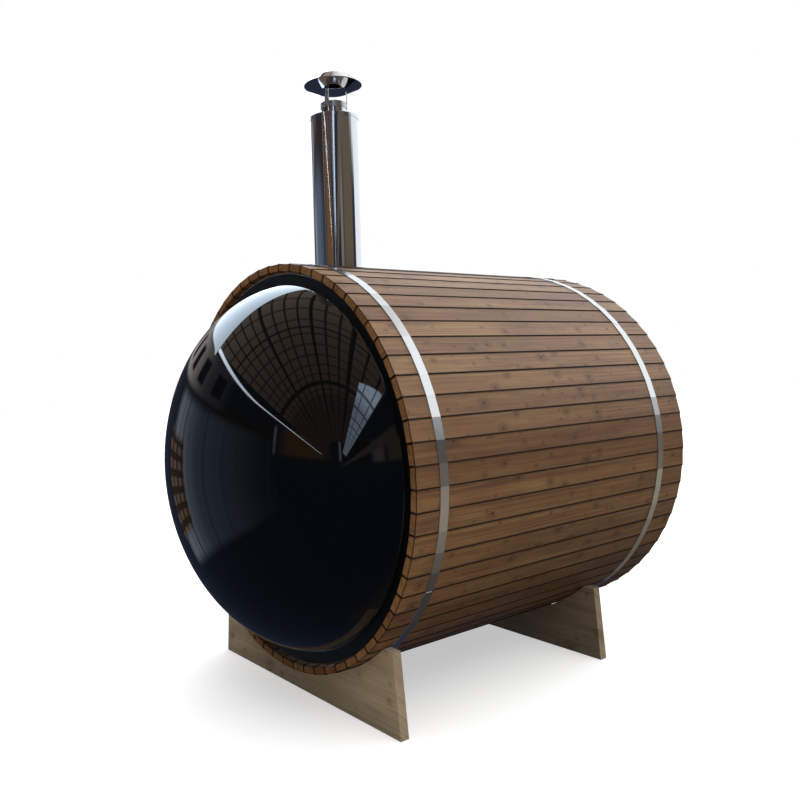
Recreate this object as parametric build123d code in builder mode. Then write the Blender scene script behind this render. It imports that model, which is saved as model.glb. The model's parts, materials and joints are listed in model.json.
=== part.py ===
from build123d import *
from math import cos, pi, radians, sin, sqrt
import os

# Barrel sauna, millimetres. X runs across the barrel, +Y along it from the bubble window
# to the door, +Z up. The origin is on the ground under the middle of the whole length.

# barrel
barrel_d = 1850.0
barrel_length = 1800.0
stave_count = 66
stave_thickness = 38.0
stave_play = 0.3
stave_chamfer = 2.0
bead_width = 18.0
bead_rise = 6.0
ground_gap = 124.0

# bubble window
bubble_margin = 96.4
bubble_rise = 480.0
bubble_recess = 23.5
bubble_wall = 5.0
bubble_crown_share = 1.345
bubble_turns = (29.3, 52.8, 76.6)
flange_wall = 6.0
flange_play = 6.0
seal_thickness = 4.0
seal_width = 30.0
ring_width = 94.0
ring_thickness = 38.0
ring_joints = 8
croze_depth = 8.0
croze_play = 0.3

# steel bands
band_width = 45.0
band_thickness = 1.5
front_band_at = 117.5
rear_band_at = 1568.0
band_lap = 150.0
band_front_lap_angle = -32.0
band_rear_lap_angle = 47.0

# cradles
cradle_thickness = 45.0
front_cradle_at = 71.0
rear_cradle_at = 1395.0
cradle_foot_in = 215.0
cradle_head_in = 253.0
cradle_height = 355.0
plank_height = 152.0

# door end
wall_inset = 100.0
wall_thickness = 38.0
door_frame_width = 690.0
door_corner_margin = 22.5
door_frame_drop = 5.0
door_frame_proud = 10.0
jamb_width = 42.0
door_stop = 12.0
door_gap = 3.0
leaf_thickness = 38.0
stile_width = 92.0
bottom_rail = 150.0
glass_thickness = 6.0
glass_lap = 10.0
hinge_height = 76.0
hinge_plate = 30.0
hinge_thickness = 2.5
handle_length = 320.0
handle_section = 28.0
handle_reach = 34.0

# flue
flue_at = 368.0
flue_outer_d = 225.0
flue_jacket = 52.5
flue_wall = 1.0
flue_rise = 700.0
flue_stub = 66.0
flue_below = 60.0
flue_hole_play = 4.0
top_ring_rise = 12.0
leg_count = 3
leg_width = 16.0
leg_thickness = 2.0
cap_overhang = 23.5
cap_gap = 120.0
cap_skirt = 28.0
cap_rise = 60.0
cap_skirt_run = 60.0
cap_crown_run = 84.0
leg_start = -64.0
flashing_width = 18.5
rosette_width = 47.5
sheet = 1.5
fit = 0.2

barrel_r = barrel_d / 2
inner_r = barrel_r - stave_thickness
stave_angle = 360.0 / stave_count
half = radians(stave_angle / 2)
axis_height = barrel_r + ground_gap
bubble_base_r = barrel_r - bubble_margin
bubble_reach = bubble_rise - bubble_recess
overall = barrel_length + bubble_reach
front_y = -overall / 2 + bubble_reach
rear_y = front_y + barrel_length
croze_r = inner_r * cos(half) + croze_depth
ring_front = front_y + bubble_recess + flange_wall + seal_thickness
wall_back = rear_y - wall_inset
flue_y = front_y + flue_at
flue_top = axis_height + barrel_r + flue_rise

os.makedirs("parts", exist_ok=True)


def along(y):
    """Section plane across the barrel at y, drawn as X and Z about the barrel's axis."""
    return Plane(origin=(0, y, axis_height), x_dir=(1, 0, 0), z_dir=(0, -1, 0))


def save(builder, name):
    builder.part.label = name
    export_step(builder.part, "parts/" + name + ".step")


# one stave: a wedge with a bead on its right edge and a cove on its left
def edge(rho, side, out):
    n = side * out - stave_play / 2
    return (side * (rho * sin(half) + n * cos(half)), rho * cos(half) - n * sin(half))


mid_r = barrel_r - stave_thickness / 2
bead = (
    (mid_r - bead_width / 2, 0),
    (mid_r - bead_width / 4, bead_rise),
    (mid_r + bead_width / 4, bead_rise),
    (mid_r + bead_width / 2, 0),
)
with BuildSketch() as stave_section:
    with BuildLine():
        Polyline(
            edge(inner_r, 1, 0),
            *[edge(rho, 1, out) for rho, out in bead],
            edge(barrel_r - stave_chamfer, 1, 0),
            (edge(barrel_r, 1, 0)[0] - stave_chamfer, barrel_r * cos(half)),
            (edge(barrel_r, -1, 0)[0] + stave_chamfer, barrel_r * cos(half)),
            edge(barrel_r - stave_chamfer, -1, 0),
            *[edge(rho, -1, out) for rho, out in reversed(bead)],
            edge(inner_r, -1, 0),
            close=True,
        )
    make_face()

# groups of staves, counted from the one on top of the barrel towards -X
stave_groups = {
    "roof_staves": (-1, 1),
    "left_shoulder_staves": (2, 10),
    "left_upper_staves": (11, 16),
    "left_lower_staves": (17, 22),
    "left_haunch_staves": (23, 29),
    "bottom_staves": (30, 36),
    "right_haunch_staves": (37, 43),
    "right_lower_staves": (44, 49),
    "right_upper_staves": (50, 55),
    "right_shoulder_staves": (56, 64),
}
for group_name, (first, last) in stave_groups.items():
    with BuildPart() as staves:
        with BuildSketch(along(rear_y)):
            for k in range(first, last + 1):
                with Locations(Location((0, 0, 0), (0, 0, k * stave_angle))):
                    add(stave_section.sketch)
        extrude(amount=barrel_length)
        # crozes for the window ring and for the end wall
        with BuildSketch(along(ring_front + ring_thickness + croze_play)):
            Circle(croze_r)
        extrude(amount=ring_thickness + 2 * croze_play, mode=Mode.SUBTRACT)
        with BuildSketch(along(wall_back + croze_play)):
            Circle(croze_r)
        extrude(amount=wall_thickness + 2 * croze_play, mode=Mode.SUBTRACT)
        if group_name == "roof_staves":
            with Locations((0, flue_y, axis_height + inner_r)):
                Cylinder(flue_outer_d / 2 + flue_hole_play, 4 * stave_thickness, mode=Mode.SUBTRACT)
    save(staves, group_name)

# steel bands: a closed strap, with the lap where its ends pass each other
for band_name, at, lap_angle in (
    ("front_band", front_band_at, band_front_lap_angle),
    ("rear_band", rear_band_at, band_rear_lap_angle),
):
    strap_r = barrel_r + fit
    lap_span = band_lap / barrel_r * 180 / pi
    with BuildPart() as band:
        with BuildSketch(along(front_y + at + band_width)):
            Circle(strap_r + band_thickness)
            Circle(strap_r, mode=Mode.SUBTRACT)
        extrude(amount=band_width)
        with BuildSketch(along(front_y + at + band_width)):
            with BuildLine():
                start, stop = lap_angle - lap_span / 2, lap_angle + lap_span / 2
                r1, r2 = strap_r + band_thickness, strap_r + 2 * band_thickness
                a = CenterArc((0, 0), r1, start, lap_span)
                b = CenterArc((0, 0), r2, start, lap_span)
                Line(a @ 0, b @ 0)
                Line(a @ 1, b @ 1)
            make_face()
        extrude(amount=band_width)
    save(band, band_name)


# bubble window: a blown dome and the flat flange it is held by, about the barrel's axis. Its
# section is three tangent arcs that tighten from the crown to the edge. They turn through the
# angles of bubble_turns, and the outer two radii follow from the dome's width and rise.
def blown(width, rise, crown, inset):
    a, b, c = (radians(turn) for turn in bubble_turns)
    run, drop = width - crown * sin(a), rise - crown * (1 - cos(a))
    p, q, r, t = sin(b) - sin(a), sin(c) - sin(b), cos(a) - cos(b), cos(b) - cos(c)
    flank = (run * t - drop * q) / (p * t - q * r)
    brim = (drop * p - run * r) / (p * t - q * r)
    points, x, y, last = [(0, -rise + inset)], 0, -rise + inset, 0
    for radius, turn in ((crown, a), (flank, b), (brim, c)):
        for angle in ((last + turn) / 2, turn):
            points.append(
                (
                    x + (radius - inset) * (sin(angle) - sin(last)),
                    y + (radius - inset) * (cos(last) - cos(angle)),
                )
            )
        (x, y), last = points[-1], turn
    return points


dome_plane = Plane(
    origin=(0, front_y + bubble_recess, axis_height), x_dir=(1, 0, 0), z_dir=(0, 0, 1)
)
flange_r = inner_r * cos(half) - flange_play
crown_r = bubble_base_r * bubble_crown_share
outside = blown(bubble_base_r, bubble_rise, crown_r, 0)
inside = blown(bubble_base_r, bubble_rise, crown_r, bubble_wall)
with BuildPart() as bubble:
    with BuildSketch(dome_plane):
        with BuildLine():
            for skin in (outside, inside):
                for i in (0, 2, 4):
                    ThreePointArc(skin[i], skin[i + 1], skin[i + 2])
            Line(outside[0], inside[0])
            Polyline(inside[6], (inside[6][0], flange_wall), (bubble_base_r, flange_wall), outside[6])
        make_face()
    revolve(axis=Axis((0, 0, axis_height), (0, 1, 0)))
save(bubble, "bubble_window")

seal_front = front_y + bubble_recess + flange_wall
with BuildPart() as flange:
    with BuildSketch(along(seal_front)):
        Circle(flange_r)
        Circle(bubble_base_r + fit, mode=Mode.SUBTRACT)
    extrude(amount=flange_wall)
save(flange, "bubble_flange")

with BuildPart() as seal:
    with BuildSketch(along(seal_front + seal_thickness)):
        Circle(flange_r)
        Circle(flange_r - seal_width, mode=Mode.SUBTRACT)
    extrude(amount=seal_thickness)
save(seal, "window_seal")

# the wooden ring behind the flange, let into the staves' croze; butted segments
ring_inner_r = croze_r - ring_width
with BuildPart() as ring:
    with BuildSketch(along(ring_front + ring_thickness)):
        Circle(croze_r - croze_play)
        Circle(ring_inner_r, mode=Mode.SUBTRACT)
        with PolarLocations((croze_r + ring_inner_r) / 2, ring_joints, start_angle=180 / ring_joints):
            Rectangle(croze_r, 0.5, mode=Mode.SUBTRACT)
    extrude(amount=ring_thickness)
save(ring, "window_ring")

# cradles: a plank with the saddle cut in it and an ear on each end
for cradle_name, at in (("front_cradle", front_cradle_at), ("rear_cradle", rear_cradle_at)):
    foot, head = barrel_r - cradle_foot_in, barrel_r - cradle_head_in
    slope = (foot - head) / cradle_height
    base = -axis_height
    with BuildPart() as plank:
        with BuildSketch(along(front_y + at + cradle_thickness)):
            Polygon(
                (-foot, base),
                (foot, base),
                (foot - slope * plank_height, base + plank_height),
                (-foot + slope * plank_height, base + plank_height),
                align=None,
            )
            Circle(barrel_r + fit, mode=Mode.SUBTRACT)
        extrude(amount=cradle_thickness)
    save(plank, cradle_name + "_plank")
    with BuildPart() as ears:
        with BuildSketch(along(front_y + at + cradle_thickness)):
            low = plank_height + fit
            Polygon(
                (-foot + slope * low, base + low),
                (foot - slope * low, base + low),
                (head, base + cradle_height),
                (-head, base + cradle_height),
                align=None,
            )
            Circle(barrel_r + fit, mode=Mode.SUBTRACT)
        extrude(amount=cradle_thickness)
    save(ears, cradle_name + "_ears")

# end wall at the door, in four panels round the door frame
wall_r = croze_r - croze_play
frame_half = door_frame_width / 2
frame_low = -sqrt((wall_r - door_corner_margin) ** 2 - frame_half**2)
door_frame_height = -2 * (frame_low + door_frame_drop)
frame_high = frame_low + door_frame_height
panels = {
    "end_wall_left": (-wall_r, -frame_half - fit, -wall_r, wall_r),
    "end_wall_right": (frame_half + fit, wall_r, -wall_r, wall_r),
    "end_wall_top": (-frame_half, frame_half, frame_high + fit, wall_r),
    "end_wall_bottom": (-frame_half, frame_half, -wall_r, frame_low - fit),
}
for panel_name, (x1, x2, z1, z2) in panels.items():
    with BuildPart() as panel:
        with BuildSketch(along(wall_back)):
            Circle(wall_r)
            with Locations(((x1 + x2) / 2, (z1 + z2) / 2)):
                Rectangle(x2 - x1, z2 - z1, mode=Mode.INTERSECT)
        extrude(amount=wall_thickness)
    save(panel, panel_name)

# door frame: jambs, head and sill in one ring with a stop behind the leaf
frame_back = wall_back + door_frame_proud
frame_depth = wall_thickness + 2 * door_frame_proud
open_w = door_frame_width - 2 * jamb_width
open_h = door_frame_height - 2 * jamb_width
with BuildPart() as frame:
    with BuildSketch(along(frame_back)):
        with Locations((0, -door_frame_drop)):
            Rectangle(door_frame_width, door_frame_height)
            Rectangle(open_w - 2 * door_stop, open_h - 2 * door_stop, mode=Mode.SUBTRACT)
    extrude(amount=frame_depth)
    with BuildSketch(along(frame_back)):
        with Locations((0, -door_frame_drop)):
            Rectangle(open_w, open_h)
    extrude(amount=leaf_thickness + 2, mode=Mode.SUBTRACT)
save(frame, "door_frame")

leaf_w = open_w - 2 * door_gap
leaf_h = open_h - 2 * door_gap
light_w = leaf_w - 2 * stile_width
light_h = leaf_h - stile_width - bottom_rail
light_z = -door_frame_drop + (bottom_rail - stile_width) / 2
glass_back = frame_back - (leaf_thickness - glass_thickness) / 2
with BuildPart() as leaf:
    with BuildSketch(along(frame_back)):
        with Locations((0, -door_frame_drop)):
            Rectangle(leaf_w, leaf_h)
        with Locations((0, light_z)):
            Rectangle(light_w, light_h, mode=Mode.SUBTRACT)
    extrude(amount=leaf_thickness)
    # groove that the pane sits in
    with BuildSketch(along(glass_back + fit)):
        with Locations((0, light_z)):
            Rectangle(light_w + 2 * glass_lap + 2 * fit, light_h + 2 * glass_lap + 2 * fit)
    extrude(amount=glass_thickness + 2 * fit, mode=Mode.SUBTRACT)
save(leaf, "door_leaf")

with BuildPart() as pane:
    with BuildSketch(along(glass_back)):
        with Locations((0, light_z)):
            Rectangle(light_w + 2 * glass_lap, light_h + 2 * glass_lap)
    extrude(amount=glass_thickness)
save(pane, "door_glass")

# hinges on the outer face, at the left jamb seen from the bubble
hinge_x = -open_w / 2 + door_gap / 2
with BuildPart() as hinges:
    for z in (-0.36, 0.0, 0.36):
        with Locations((hinge_x, frame_back + hinge_thickness / 2 + fit, axis_height + z * leaf_h)):
            Box(2 * hinge_plate, hinge_thickness, hinge_height)
        with Locations((hinge_x, frame_back + hinge_thickness + 5, axis_height + z * leaf_h)):
            Cylinder(6, hinge_height)
save(hinges, "door_hinges")

handle_x = leaf_w / 2 - stile_width / 2
with BuildPart() as handles:
    for face_y, way in ((frame_back, 1), (frame_back - leaf_thickness, -1)):
        with Locations((handle_x, face_y + way * (fit + handle_reach + handle_section / 2), axis_height)):
            Box(handle_section, handle_section, handle_length)
        for z in (-0.36, 0.36):
            with Locations(
                (handle_x, face_y + way * (fit + handle_reach / 2), axis_height + z * handle_length)
            ):
                Box(handle_section * 0.8, handle_reach, handle_section)
save(handles, "door_handles")

# flue: insulated double wall pipe through the roof, with its closing ring and rain cap
shell_r = flue_outer_d / 2
pipe_r = shell_r - flue_jacket
flue_low = axis_height + inner_r - flue_below
with BuildPart() as shell:
    with BuildSketch(Plane(origin=(0, flue_y, flue_low), z_dir=(0, 0, 1))):
        Circle(shell_r)
        Circle(shell_r - flue_wall, mode=Mode.SUBTRACT)
    extrude(amount=flue_top - flue_low)
save(shell, "flue_shell")

with BuildPart() as insulation:
    with BuildSketch(Plane(origin=(0, flue_y, flue_low + 10), z_dir=(0, 0, 1))):
        Circle(shell_r - flue_wall - fit)
        Circle(pipe_r + fit, mode=Mode.SUBTRACT)
    extrude(amount=flue_top - flue_low - 20)
save(insulation, "flue_insulation")

with BuildPart() as pipe:
    with BuildSketch(Plane(origin=(0, flue_y, flue_low - 30), z_dir=(0, 0, 1))):
        Circle(pipe_r)
        Circle(pipe_r - flue_wall, mode=Mode.SUBTRACT)
    extrude(amount=flue_top + flue_stub - flue_low + 30)
save(pipe, "flue_pipe")

with BuildPart() as top_ring:
    with BuildSketch(Plane.XZ.offset(-flue_y)):
        Polygon(
            (pipe_r + fit, flue_top + top_ring_rise),
            (pipe_r + fit + 1.5, flue_top + top_ring_rise),
            (shell_r + 1.5, flue_top + 1.5),
            (shell_r + 1.5, flue_top - 14),
            (shell_r + fit, flue_top - 14),
            (shell_r + fit, flue_top + fit),
            (pipe_r + fit, flue_top + top_ring_rise - 1.7),
            align=None,
        )
    revolve(axis=Axis((0, flue_y, 0), (0, 0, 1)))
save(top_ring, "flue_top_ring")

cap_r = shell_r + cap_overhang
cap_under_z = flue_top + cap_gap
cap_rim_z = cap_under_z + cap_skirt
cap_top_z = cap_rim_z + cap_rise
with BuildPart() as cap:
    with BuildSketch(Plane.XZ.offset(-flue_y)):
        Polygon(
            (0, cap_under_z),
            (cap_r - cap_skirt_run, cap_under_z),
            (cap_r - 1, cap_rim_z - 2),
            (cap_r, cap_rim_z),
            (cap_r - 1, cap_rim_z + 2),
            (cap_r * 0.72, cap_rim_z + (cap_top_z - cap_rim_z) * 0.55),
            (cap_r - cap_crown_run, cap_top_z - 6),
            (0, cap_top_z),
            align=None,
        )
    revolve(axis=Axis((0, flue_y, 0), (0, 0, 1)))
save(cap, "rain_cap")

leg_r = pipe_r + fit
with BuildPart() as legs:
    with BuildSketch(Plane(origin=(0, flue_y, flue_top + flue_stub - 26), z_dir=(0, 0, 1))):
        Circle(leg_r + leg_thickness)
        Circle(leg_r, mode=Mode.SUBTRACT)
    extrude(amount=20)
    with BuildSketch(Plane(origin=(0, flue_y, flue_top + flue_stub - 26), z_dir=(0, 0, 1))):
        with PolarLocations(leg_r + leg_thickness * 0.75, leg_count, start_angle=leg_start):
            Rectangle(leg_thickness * 1.5, leg_width)
    extrude(amount=cap_under_z - (flue_top + flue_stub - 26) - fit)
save(legs, "cap_legs")

# sheet ring on the roof and the rosette under it, both bent to the barrel
flashing_r = shell_r + flashing_width
rosette_r = shell_r + rosette_width
with BuildPart() as flashing:
    with BuildSketch(along(flue_y + flashing_r)):
        Circle(barrel_r + fit + sheet)
        Circle(barrel_r + fit, mode=Mode.SUBTRACT)
    extrude(amount=2 * flashing_r)
    with BuildSketch(Plane(origin=(0, flue_y, axis_height), z_dir=(0, 0, 1))):
        Circle(flashing_r)
        Circle(shell_r + fit, mode=Mode.SUBTRACT)
    extrude(amount=barrel_r + 100, mode=Mode.INTERSECT)
save(flashing, "roof_flashing")

with BuildPart() as rosette:
    with BuildSketch(along(flue_y + rosette_r)):
        Circle(inner_r * cos(half) - fit)
        Circle(inner_r * cos(half) - fit - sheet, mode=Mode.SUBTRACT)
    extrude(amount=2 * rosette_r)
    with BuildSketch(Plane(origin=(0, flue_y, axis_height), z_dir=(0, 0, 1))):
        Circle(rosette_r)
        Circle(shell_r + fit, mode=Mode.SUBTRACT)
    extrude(amount=barrel_r + 100, mode=Mode.INTERSECT)
save(rosette, "ceiling_rosette")
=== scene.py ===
import json
import bmesh
import bpy
import numpy as np
from mathutils import Matrix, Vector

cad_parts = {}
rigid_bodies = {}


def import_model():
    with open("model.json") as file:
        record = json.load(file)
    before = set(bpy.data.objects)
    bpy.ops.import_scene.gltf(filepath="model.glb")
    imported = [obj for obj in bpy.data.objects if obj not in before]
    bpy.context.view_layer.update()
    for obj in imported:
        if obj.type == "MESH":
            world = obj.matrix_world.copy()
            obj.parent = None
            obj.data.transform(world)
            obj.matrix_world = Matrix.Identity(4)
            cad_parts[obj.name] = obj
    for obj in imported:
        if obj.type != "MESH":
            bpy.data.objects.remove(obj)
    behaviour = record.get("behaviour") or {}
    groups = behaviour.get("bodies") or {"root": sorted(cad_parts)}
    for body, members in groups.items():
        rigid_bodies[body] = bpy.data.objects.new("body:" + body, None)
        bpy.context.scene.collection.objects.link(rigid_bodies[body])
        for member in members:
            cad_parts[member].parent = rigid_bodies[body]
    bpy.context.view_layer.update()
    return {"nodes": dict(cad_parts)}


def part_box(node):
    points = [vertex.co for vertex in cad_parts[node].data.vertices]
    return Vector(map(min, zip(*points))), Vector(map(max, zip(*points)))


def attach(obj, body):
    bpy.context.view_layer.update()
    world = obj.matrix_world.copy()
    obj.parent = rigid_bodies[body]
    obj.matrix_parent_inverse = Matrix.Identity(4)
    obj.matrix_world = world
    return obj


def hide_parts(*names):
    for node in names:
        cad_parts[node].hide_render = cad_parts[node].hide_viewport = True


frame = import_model()

# Sizes in metres, as the solids have them. Y runs from the bubble window to the door.
barrel = {"radius": 0.925, "thickness": 0.038, "count": 66, "axisHeight": 1.049, "flueAt": 0.368}
axisZ = barrel["axisHeight"]
lowest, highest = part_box("bottom_staves")
frontY, rearY = lowest[1], highest[1]
staveAngle = 2 * np.pi / barrel["count"]
boardEase = 0.0012                                      # how far a sawn board's arrises are eased
flueY = frontY + barrel["flueAt"]
rng = np.random.default_rng(7)


def report(text):
    print("stage:", text)


# Makes a mesh from an array of points and a list of faces; uv and seed are given for each point.
def putMesh(name, points, faces, uv=None, seed=None, sharp=35):
    mesh = bpy.data.meshes.new(name)
    mesh.from_pydata(np.asarray(points, float).tolist(), [], faces)
    mesh.validate()
    mesh.update()
    if uv is not None:
        layer = mesh.uv_layers.new(name="alongAcross")
        corner = np.zeros(len(mesh.loops), np.int32)
        mesh.loops.foreach_get("vertex_index", corner)
        layer.data.foreach_set("uv", np.asarray(uv, np.float32)[corner].ravel())
    if seed is not None:
        attribute = mesh.attributes.new("boardSeed", "FLOAT", "POINT")
        attribute.data.foreach_set("value", np.asarray(seed, np.float32))
    mesh.shade_smooth()
    mesh.set_sharp_from_angle(angle=np.radians(sharp))
    obj = bpy.data.objects.new(name, mesh)
    bpy.context.scene.collection.objects.link(obj)
    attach(obj, "root")
    return obj


# Quads of a grid of rows x cols points, numbered row by row, joined end to end where closed.
def gridFaces(rows, cols, closeRows=False, closeCols=False, start=0):
    r = np.arange(rows if closeRows else rows - 1)
    c = np.arange(cols if closeCols else cols - 1)
    a, b = np.meshgrid(r, c, indexing="ij")
    a2, b2 = (a + 1) % rows, (b + 1) % cols
    quads = np.stack([a * cols + b, a * cols + b2, a2 * cols + b2, a2 * cols + b], -1)
    return (quads.reshape(-1, 4) + start).tolist()


# Merges the doubles at poles and turns all faces outwards.
def tidyNormals(obj, weld=2e-5):
    bm = bmesh.new()
    bm.from_mesh(obj.data)
    bmesh.ops.remove_doubles(bm, verts=bm.verts, dist=weld)
    bmesh.ops.recalc_face_normals(bm, faces=bm.faces)
    if bm.calc_volume(signed=True) < 0:
        bmesh.ops.reverse_faces(bm, faces=bm.faces)
    bm.to_mesh(obj.data)
    bm.free()
    return obj


# A surface of revolution: each (radius, height) of the profile goes round the axis in steps.
# Round +Z a point is (r cos t, r sin t, h); round +Y it is (r sin t, h, r cos t).
def turned(name, profile, axis, centre, steps, closed=True, sharp=35):
    t = np.linspace(0, 2 * np.pi, steps, endpoint=False)
    r, h = np.asarray(profile, float).T
    c, s = np.outer(r, np.cos(t)), np.outer(r, np.sin(t))
    hh = np.repeat(h[:, None], steps, 1)
    grid = np.stack([c, s, hh] if axis == "Z" else [s, hh, c], -1) + np.asarray(centre)
    faces = gridFaces(len(r), steps, closeRows=closed, closeCols=True)
    return tidyNormals(putMesh(name, grid.reshape(-1, 3), faces, sharp=sharp))


# Boards with eased arrises, all in one mesh. A board is a box whose section is a rectangle with
# each corner cut by two short faces, carried along its length; its end rings are drawn in by the
# same amount. frames are 4x4 arrays: x along the board, y across its width, z through it. With a
# taper the width at z is the middle width times 1 + z taper.
def softBoards(name, frames, sizes, soft, seeds, taper=None, lengthSteps=2):
    corners = 12
    rowCount = lengthSteps + 2
    frames, sizes = np.asarray(frames, float), np.asarray(sizes, float)
    length, halfWidth, halfDepth = sizes[:, 0], sizes[:, 1] / 2, sizes[:, 2] / 2
    middle = soft * 0.3
    cuts = [(soft, 0), (middle, middle), (0, soft)]
    ring = []
    for i, (sideY, sideZ) in enumerate(((-1, -1), (1, -1), (1, 1), (-1, 1))):
        for a, b in cuts if i % 2 == 0 else cuts[::-1]:
            ring.append(np.stack([sideY * (halfWidth - a), sideZ * (halfDepth - b)], -1))
    ring = np.stack(ring, 1)                            # board, corner, (y, z)
    if taper is not None:
        ring[:, :, 0] *= 1 + ring[:, :, 1] * np.asarray(taper)[:, None]
    inner = ring - np.sign(ring) * soft * 0.8
    rows = np.stack([inner] + [ring] * lengthSteps + [inner], 1)
    shift = np.zeros(lengthSteps)
    shift[0], shift[-1] = soft, -soft
    stations = length[:, None] * np.linspace(0, 1, lengthSteps) + shift
    stations = np.concatenate([0 * length[:, None], stations, length[:, None]], 1)
    along = stations[:, :, None, None] * np.ones((len(sizes), rowCount, corners, 1))
    local = np.concatenate([along, rows, np.ones_like(along)], -1)
    points = np.einsum("nij,nrpj->nrpi", frames, local)[..., :3]
    per = rowCount * corners
    oneBoard = gridFaces(rowCount, corners, closeCols=True)
    oneBoard += [list(range(corners - 1, -1, -1)), [per - corners + i for i in range(corners)]]
    faces = [[v + board * per for v in face] for board in range(len(sizes)) for face in oneBoard]
    depth = halfDepth[:, None, None]
    onEdge = rows[..., 0] + np.sign(rows[..., 0]) * (depth - rows[..., 1])
    girth = np.where(np.abs(rows[..., 1]) >= depth - 1.01 * soft, rows[..., 0], onEdge)
    uv = np.stack([along[..., 0], girth], -1).reshape(-1, 2)
    seed = np.repeat(np.asarray(seeds), per)
    return tidyNormals(putMesh(name, points.reshape(-1, 3), faces, uv=uv, seed=seed, sharp=25), 1e-7)


# A 4x4 frame from an origin, a direction along the board and one across its width.
def place(origin, along, across):
    x = np.asarray(along, float) / np.linalg.norm(along)
    y = np.asarray(across, float) / np.linalg.norm(across)
    m = np.eye(4)
    m[:3, 0], m[:3, 1], m[:3, 2], m[:3, 3] = x, y, np.cross(x, y), origin
    return m


# An sRGB hex value as linear red, green, blue and alpha 1.
def linear(hexCode):
    v = [int(hexCode[i:i + 2], 16) / 255 for i in (1, 3, 5)]
    return [x / 12.92 if x <= 0.04045 else ((x + 0.055) / 1.055) ** 2.4 for x in v] + [1.0]


# Adds a node. Its inputs are given in order or by name: a node stands for its first output in
# use and is linked, as a socket is, and any other value is set. The settings are the node's own
# properties, and stops are the (position, hex) pairs of a colour ramp.
def addNode(tree, kind, inputs=(), stops=(), **settings):
    node = tree.nodes.new("ShaderNode" + kind)
    for key, value in settings.items():
        setattr(node, key, value)
    for i, (at, code) in enumerate(stops):
        if i >= len(node.color_ramp.elements):
            node.color_ramp.elements.new(1.0)
        node.color_ramp.elements[i].position = at
        node.color_ramp.elements[i].color = linear(code)
    for key, value in inputs.items() if isinstance(inputs, dict) else enumerate(inputs):
        if isinstance(value, bpy.types.Node):
            value = next(out for out in value.outputs if out.enabled)
        if isinstance(value, bpy.types.NodeSocket):
            tree.links.new(value, node.inputs[key])
        else:
            node.inputs[key].default_value = value
    return node


# A new material whose shader's sockets have the values given; colours are hex values.
def newMaterial(name, surface):
    mat = bpy.data.materials.new(name)
    mat.use_nodes = True
    shader = mat.node_tree.nodes["Principled BSDF"]
    for key, value in surface.items():
        shader.inputs[key].default_value = linear(value) if key.endswith("Color") else value
    return mat, mat.node_tree, shader


# Lays colours over a first one: each is base x (1 - mask) + colour x mask, in the order given.
def layered(tree, base, *layers):
    for mask, colour in layers:
        sockets = {0: mask, 6: base, 7: (*colour, 1) if isinstance(colour, tuple) else colour}
        sockets[6] = (*base, 1) if isinstance(base, tuple) else base
        base = addNode(tree, "Mix", sockets, data_type="RGBA")
    return base


# a noise over the board's own coordinates, stretched by the three factors
def grainNoise(tree, board, stretch, detail):
    scaled = addNode(tree, "VectorMath", (board, stretch), operation="MULTIPLY")
    return addNode(tree, "TexNoise", {"Vector": scaled, "Scale": 1.0, "Detail": detail})


# Spots at the points of a Voronoi pattern whose cells are spacing metres apart along the board
# and spacing / squeeze across it. A share of the cells has a spot: room is how far it may reach,
# from 0 to size, and the spot is (room - distance) x edge, its outline shaken by the wobble. The
# halo has 3.4 times the room.
def knotSpots(tree, board, wobble, spacing, share, size, squeeze, edge):
    stretch = (1 / spacing, squeeze / spacing, 1.0)
    scaled = addNode(tree, "VectorMath", (board, stretch), operation="MULTIPLY")
    cells = addNode(tree, "TexVoronoi", {"Vector": scaled, "Scale": 1.0, "Randomness": 1.0},
                    voronoi_dimensions="2D")
    chance = addNode(tree, "SeparateColor", (cells.outputs["Color"],))
    above = addNode(tree, "Math", (chance, 1 - share), operation="SUBTRACT")
    room = addNode(tree, "Math", (above, size / spacing / share), operation="MULTIPLY")
    away = addNode(tree, "Math", (wobble, 0.3 * size / spacing, cells.outputs["Distance"]),
                   operation="MULTIPLY_ADD")
    wide = addNode(tree, "Math", (room, 3.4), operation="MULTIPLY")
    masks = []
    for limit, sharpness in ((room, edge), (wide, 6.0)):
        inside = addNode(tree, "Math", (limit, away), operation="SUBTRACT")
        masks.append(addNode(tree, "Math", (inside, sharpness), operation="MULTIPLY", use_clamp=True))
    return masks


# how far a board's seed moves its pattern along, across and in depth, and how its tone is picked;
# the noises' scales to the metre along the board, across it and in depth
woodGrain = {"shifts": (37.0, 11.3, 91.0), "toneShift": 53.7, "shake": (110.0, 110.0, 1.0),
             "drift": (1.7, 6.0, 1.0), "fine": (9.0, 900.0, 1.0), "broad": (2.2, 12.0, 1.0),
             "smear": (5.0, 34.0, 1.0), "ringStretch": 1.6, "knotBend": 0.006,
             "weights": {"rings": 0.58, "fine": 0.14, "broad": 0.32}}


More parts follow.
